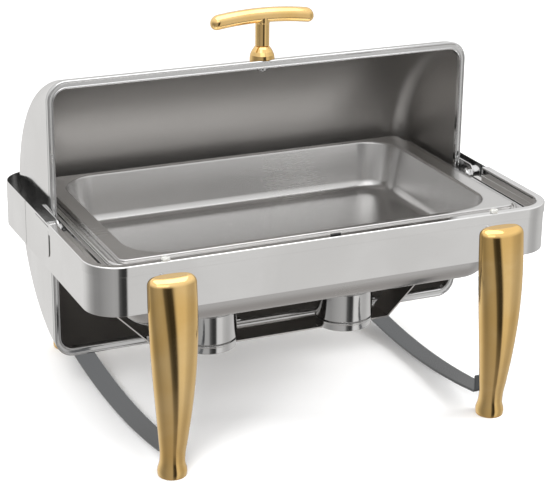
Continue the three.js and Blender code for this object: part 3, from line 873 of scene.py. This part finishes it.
def drum_rows(inset, cut, around=96):
    """The drum's skin behind the cut plane, as rows of points about its axis."""
    rows = []
    for radius, x in drum_stations(inset, cut):
        reach = math.acos(min(1, (cut - DRUM_Y) / radius))
        turns = np.linspace(-reach, reach, around + 1)
        rows.append([(x, DRUM_Y + radius * math.cos(t), DRUM_Z + radius * math.sin(t)) for t in turns])
    return rows


def drum_ring(inset, y):
    """The drum's closed outline where a plane across Y cuts it; the rim is wider along its round side."""
    stations = drum_stations(inset, y, inset * RIM_DEEPER)
    heights = [math.sqrt(max(radius**2 - (y - DRUM_Y) ** 2, 0)) for radius, _ in stations]
    upper = [(x, y, DRUM_Z + h) for (_, x), h in zip(stations, heights)]
    lower = [(x, y, DRUM_Z - h) for (_, x), h in zip(stations, heights)]
    return upper + lower[::-1]


def make_cover_shell():
    """The roll-top skin: mirror outside, satin inside."""
    cut = SHELL_LOW.y
    outside, inside = drum_rows(0, cut), drum_rows(COVER_SHEET, cut)
    shape = Shape().grid(outside).grid(inside, finish=1)
    for column in (0, -1):
        shape.grid([[row[column] for row in outside], [row[column] for row in inside]])
    shape.grid([outside[0], inside[0]]).grid([outside[-1], inside[-1]])
    piece("cover_shell", shape, finishes=(MATERIALS["mirror_steel"], COVER_LINING))


def make_cover_rim():
    """Rolled channel round the cover's mouth: a bead at each edge and a shallow face between."""
    low, high = extent("cover_rim")
    line = [(0, high.y)] + [(inset, low.y + depth) for inset, depth in RIM_FACE]
    line += [(RIM_WIDTH, high.y - RIM_EASE), (RIM_WIDTH - RIM_EASE, high.y)]
    rows = [drum_ring(inset, y) for inset, y in rounded(line, 0.8, closed=True, steps=4)]
    rim = Shape().grid(rows, wrap_rows=True, wrap_columns=True)
    piece("cover_rim", rim, sharp=45, finishes=(RIM_STEEL,))


def make_arms():
    """Flat arms with round ends, which carry the cover on the studs."""
    low, high = extent("cover_arm_right")
    radius = half_size("cover_arm_right", "z")
    corners = [(low.y, low.z), (high.y, low.z), (high.y, high.z), (low.y, high.z)]
    section = rounded(corners, radius * 0.99, closed=True, steps=14)
    pair("cover_arm", extruded(section, low.x, high.x, "x"), bevel=0.4)


HANDLE_Y = centre_of("handle_bar", "y")[0]
HANDLE_POST = half_size("handle_post", "x")
BAR_RADIUS = half_size("handle_bar", "y")
BAR_CENTRE = extent("handle_bar")[1].z - BAR_RADIUS
BAR_SAG = 6
# Bell under the post: inset from its flare and depth under its top
BELL = [(0, 34), (0, 15.5), (0.7, 11), (2.6, 6.5), (5.2, 2.5)]
# Neck of the post: growth beyond its radius and depth under the bar's middle
NECK = [(0, 10.5), (0.5, 8.6), (0.2, 0)]


def on_skin(x, y, z):
    """Lifts a point to the outside of the cover's skin."""
    return x, y, max(z, DRUM_Z + math.sqrt(DRUM_RADIUS**2 - (y - DRUM_Y) ** 2) + GAP)


def make_handle_base():
    top = extent("handle_base")[1].z
    flare = half_size("handle_base", "x")
    bell = [(0, top - BELL[0][1])] + [(flare - inset, top - down) for inset, down in BELL]
    bell += [(HANDLE_POST, top), (0, top)]
    base = turned(rounded(bell, 1.2), (0, HANDLE_Y)).moved(on_skin)
    piece("handle_base", base, sharp=60)


def make_handle_post():
    foot = extent("handle_base")[1].z + GAP
    ease = 0.7
    neck = [(0, foot), (HANDLE_POST - ease, foot), (HANDLE_POST, foot + 0.8)]
    neck += [(HANDLE_POST + growth, BAR_CENTRE - down) for growth, down in NECK] + [(0, BAR_CENTRE)]
    piece("handle_post", turned(rounded(neck, 1.0), (0, HANDLE_Y)), sharp=60)


def make_handle_screw():
    low, high = extent("handle_screw")
    head = half_size("handle_screw", "x")
    shank = 2.4
    line = [(0, low.z), (head - 0.8, low.z), (head, low.z + 1), (head, low.z + 4.4), (shank, low.z + 5)]
    line += [(shank, high.z), (0, high.z)]
    piece("handle_screw", turned(line, (0, HANDLE_Y), steps=36), sharp=30)


def make_handle():
    """Gold T handle: bell base on the cover, short post and an arched round bar."""
    make_handle_base()
    make_handle_post()
    make_handle_bar()
    make_handle_screw()


def make_handle_bar():
    """Round bar, a little drooped towards its domed ends."""
    half, radius = extent("handle_bar")[1].x, BAR_RADIUS
    turns = np.linspace(0, 2 * math.pi, 40)[:-1]
    rings = []
    for x in [half * math.sin(a) for a in np.radians(np.linspace(-90, 90, 61))]:
        from_end = half - abs(x)
        swell = math.sqrt(max(1 - (1 - from_end / radius) ** 2, 0)) if from_end < radius else 1
        r = radius * swell
        z = BAR_CENTRE - BAR_SAG * (x / half) ** 2
        rings.append([(x, HANDLE_Y + r * math.cos(t), z + r * math.sin(t)) for t in turns])
    piece("handle_bar", Shape().grid(rings, wrap_columns=True), sharp=60)


# ---- burners ----

BURNER_SHEET = 1.2
THUMB_TAB = {"half": 4, "height": 27, "corner": 2.5}
LID_MOUTH = 15
# Lever of the damper, each side of it: distance from the burner's middle and half width
LEVER = [(27, 6), (33, 4)]


def make_burner(side):
    """A tray fixed to the shelf and the burner that stands in it."""
    centre = centre_of(f"burner_tray_{side}", "xy")
    radius = half_size(f"burner_tray_{side}", "x")
    make_tray(side, centre, radius)
    make_cup(side, centre, radius)
    make_lid(side, centre, radius)
    make_damper(side, centre)
    make_rivet(side, centre)
    make_can(side, centre)


def make_tray(side, centre, radius):
    """Shallow tray whose wall steps out a little at its edge."""
    low, high = extent(f"burner_tray_{side}")
    step = 1
    outer, inner = radius - step, radius - step - BURNER_SHEET
    tray = [(0, low.z), (outer, low.z), (outer, high.z - 2.4), (radius, high.z - 1.6), (radius, high.z)]
    tray += [(radius - BURNER_SHEET, high.z), (radius - BURNER_SHEET, high.z - 1.4), (inner, high.z - 2.2)]
    tray += [(inner, low.z + BURNER_SHEET), (0, low.z + BURNER_SHEET)]
    piece(f"burner_tray_{side}", turned(rounded(tray, 0.9), centre))


def make_cup(side, centre, radius):
    """The burner's cup: a neck inside the tray, a shoulder, an upright wall and a thumb tab."""
    low, high = extent(f"burner_cup_{side}")
    tray_low, tray_high = extent(f"burner_tray_{side}")
    sheet = BURNER_SHEET
    neck = radius - 3
    shoulder = tray_high.z + 1.6
    cup = [(0, low.z), (neck, low.z), (neck, shoulder), (radius, shoulder + 0.8), (radius, high.z)]
    cup += [(radius - sheet, high.z), (radius - sheet, shoulder + 2), (neck - sheet, shoulder + 1.2)]
    cup += [(neck - sheet, low.z + sheet), (0, low.z + sheet)]
    root = centre[0] + radius - sheet / 2
    front, rear = centre[1] - THUMB_TAB["half"], centre[1] + THUMB_TAB["half"]
    corners = [(root, front), (high.x, front), (high.x, rear), (root, rear)]
    foot = tray_low.z + THUMB_TAB["height"]
    tab = extruded(rounded(corners, THUMB_TAB["corner"], closed=True), foot, foot + sheet, "z")
    piece(f"burner_cup_{side}", turned(rounded(cup, 0.7), centre).joined(tab))


def make_lid(side, centre, radius):
    """Ring that closes the cup round its mouth."""
    low, high = extent(f"burner_lid_{side}")
    section = [(LID_MOUTH, low.z), (radius, low.z), (radius, high.z), (LID_MOUTH, high.z)]
    piece(f"burner_lid_{side}", turned(rounded(section, 0.55, closed=True), centre, closed=True))


def make_damper(side, centre):
    """Round plate over the mouth, with a lever to swivel it by."""
    low, high = extent(f"damper_{side}")
    x, y = centre
    plate = half_size(f"damper_{side}", "y")
    start = math.degrees(math.asin(LEVER[0][1] / plate))
    lever = LEVER + [(high.x - x, LEVER[-1][1])]
    outline = arc(centre, plate, start, 360 - start, 64)
    outline += [(x + out, y - half) for out, half in lever]
    outline += [(x + out, y + half) for out, half in lever[::-1]]
    plate_shape = extruded(rounded(outline, 2.5, closed=True), low.z, high.z, "z")
    piece(f"damper_{side}", plate_shape, bevel=0.3)


def make_rivet(side, centre):
    """Domed rivet with a collar under the lid."""
    low, high = extent(f"damper_rivet_{side}")
    head = half_size(f"damper_rivet_{side}", "x")
    rise = 1.2
    collar, shank = 3.4, 2
    line = [(0, low.z), (collar, low.z), (collar, low.z + 1.6), (shank, low.z + 1.7)]
    line += [(shank, high.z - rise)]
    turns = np.radians(range(0, 91, 15))
    line += [(head * math.cos(a), high.z - rise + rise * math.sin(a)) for a in turns]
    (x,) = centre_of(f"damper_rivet_{side}", "x")
    piece(f"damper_rivet_{side}", turned(line, (x, centre[1]), steps=36), sharp=60)


def make_can(side, centre):
    """Fuel can with a recessed top and a well for the wick."""
    low, high = extent(f"fuel_can_{side}")
    radius = half_size(f"fuel_can_{side}", "x")
    seam, recess = 1.6, 2.4
    well = 9
    depth = 6
    line = [(0, low.z), (radius, low.z), (radius, high.z)]
    line += [(radius - seam, high.z), (radius - seam, high.z - recess)]
    line += [(well, high.z - 2.6), (well - 0.4, high.z - depth), (0, high.z - depth)]
    piece(f"fuel_can_{side}", turned(rounded(line, 0.8), centre))


# ---- studio ----

# Brightness of the room round the dish by bearing, in degrees: 0 is straight in front, -90 to the left
ROOM = [
    (-180, 0.72), (-164, 0.78), (-140, 0.70), (-125, 0.54), (-113, 0.40), (-95, 0.28),
    (-77, 0.27), (-53, 0.35), (-29, 0.41), (-17, 0.39), (-10, 0.10), (0, 0.04),
    (11, 0.04), (15, 0.45), (18, 0.69), (34, 0.69), (45, 0.52), (60, 0.45),
    (72, 0.46), (84, 0.54), (98, 0.60), (130, 0.56), (158, 0.58), (180, 0.72),
]
ROOM_TINT = (1, 0.99, 0.975)
SKY = (1.0, 1.0, 1.0)
GROUND = (0.38, 0.36, 0.345)
BACKDROP = (1.06, 1.06, 1.06)
# Steepness, as the sine of the angle above the level, over which the walls turn into sky and ground
SKY_FADE = (0.05, 0.6)
GROUND_FADE = (-0.45, -0.98)
FLOOR_TONE = (0.95, 0.95, 0.95)
FLOOR_HALF = 6.0


def room_walls(room, bearing):
    """Brightness of the walls by bearing, as a colour ramp all the way round."""
    walls = room.node("ShaderNodeValToRGB")
    room.link(room.ranged(bearing, 0, 1, -math.pi, math.pi, "LINEAR"), walls.inputs["Fac"])
    stops = walls.color_ramp.elements
    while len(stops) > 1:
        stops.remove(stops[-1])
    for i, (degrees, level) in enumerate(ROOM):
        position = (degrees + 180) / 360
        stop = stops[0] if i == 0 else stops.new(position)
        stop.position = position
        stop.color = (*(level * tint for tint in ROOM_TINT), 1)
    return walls.outputs["Color"]


def mixed(room, share, first, second):
    """A colour that a share takes towards a second tone."""
    made = room.node("ShaderNodeMix", data_type="RGBA")
    room.link(share, made.inputs["Factor"])
    room.link(first, made.inputs["A"])
    made.inputs["B"].default_value = (*second, 1)
    return made.outputs["Result"]


def studio_world():
    """A room whose walls change in brightness round the dish, under a pale ceiling."""
    world = bpy.data.worlds.new("studio")
    bpy.context.scene.world = world
    world.use_nodes = True
    world.node_tree.nodes.clear()
    room = NodeTree(world.node_tree)
    axes = room.node("ShaderNodeSeparateXYZ")
    room.link(room.node("ShaderNodeTexCoord").outputs["Generated"], axes.inputs["Vector"])
    bearing = room.maths("ARCTAN2", axes.outputs["X"], room.maths("MULTIPLY", axes.outputs["Y"], -1))
    height = axes.outputs["Z"]
    walls = room_walls(room, bearing)
    lower = mixed(room, room.ranged(height, 0, 1, *GROUND_FADE, "LINEAR"), walls, GROUND)
    whole = mixed(room, room.ranged(height, 0, 1, *SKY_FADE, "LINEAR"), lower, SKY)
    shown = mixed(room, room.node("ShaderNodeLightPath").outputs["Is Camera Ray"], whole, BACKDROP)
    background = room.node("ShaderNodeBackground")
    room.link(shown, background.inputs["Color"])
    output = room.node("ShaderNodeOutputWorld")
    room.link(background.outputs["Background"], output.inputs["Surface"])


def studio_floor():
    """Pale floor, kept out of the dish's reflections, which show the room's darker ground."""
    finish = Finish("floor", roughness=0.9)
    finish.colour(finish.ranged(finish.noise(3), 0, 1), FLOOR_TONE, FLOOR_TONE)
    mesh = bpy.data.meshes.new("floor")
    corners = [(x * FLOOR_HALF, y * FLOOR_HALF, 0) for x, y in ((-1, -1), (1, -1), (1, 1), (-1, 1))]
    mesh.from_pydata(corners, [], [(0, 1, 2, 3)])
    mesh.materials.append(finish.material)
    floor = bpy.data.objects.new("floor", mesh)
    floor.visible_glossy = False
    bpy.context.scene.collection.objects.link(floor)


def soft_light(name, place, target, size, power, seen):
    """Rectangular lamp turned to a target; it may be left out of reflections."""
    data = bpy.data.lights.new(name, "AREA")
    data.shape = "RECTANGLE"
    data.size, data.size_y = size
    data.energy = power
    light = bpy.data.objects.new(name, data)
    light.location = place
    light.rotation_euler = (Vector(target) - Vector(place)).to_track_quat("-Z", "Y").to_euler()
    light.visible_glossy = seen
    bpy.context.scene.collection.objects.link(light)


def studio_lights():
    middle = (0, 0, 0.2)
    soft_light("overhead", (0.0, -0.2, 2.4), middle, (2.6, 2.2), 24, seen=True)
    soft_light("front_top", (-0.9, -2.6, 2.2), middle, (2.4, 1.4), 6, seen=True)
    soft_light("key", (-1.6, -1.9, 1.7), middle, (1.2, 1.2), 60, seen=False)
    soft_light("fill", (2.1, -0.6, 1.2), middle, (1.0, 1.4), 50, seen=False)


# Camera: where it stands and how it looks
CAMERA_AT = (-0.89396, -1.9987, 1.00897)
CAMERA_TURN = 24.13
CAMERA_DIP = 20.13
CAMERA_ROLL = 0.67
LENS = 116.61  # focal length, in millimetres
SENSOR = 36.0
SHIFT = (0.00604, -0.01379)


def studio_camera():
    data = bpy.data.cameras.new("camera")
    data.sensor_width = SENSOR
    data.lens = LENS
    data.shift_x, data.shift_y = SHIFT
    camera = bpy.data.objects.new("camera", data)
    upright = Matrix.Rotation(math.radians(90 - CAMERA_DIP), 4, "X")
    heading = Matrix.Rotation(-math.radians(CAMERA_TURN), 4, "Z")
    roll = Matrix.Rotation(math.radians(CAMERA_ROLL), 4, "Z")
    camera.matrix_world = Matrix.Translation(CAMERA_AT) @ heading @ upright @ roll
    bpy.context.scene.collection.objects.link(camera)
    bpy.context.scene.camera = camera
    bpy.context.scene.view_settings.view_transform = "Standard"


studio_camera()
studio_world()
studio_floor()
studio_lights()
make_band()
make_trim()
make_pivot_plates()
make_carrier()
make_legs()
make_fasteners()
make_stretchers()
make_shelf()
make_pivots()
make_bumpers()
make_water_pan()
make_food_pan()
make_cover_shell()
make_cover_rim()
make_arms()
make_handle()
for burner_side in SIDES:
    make_burner(burner_side)
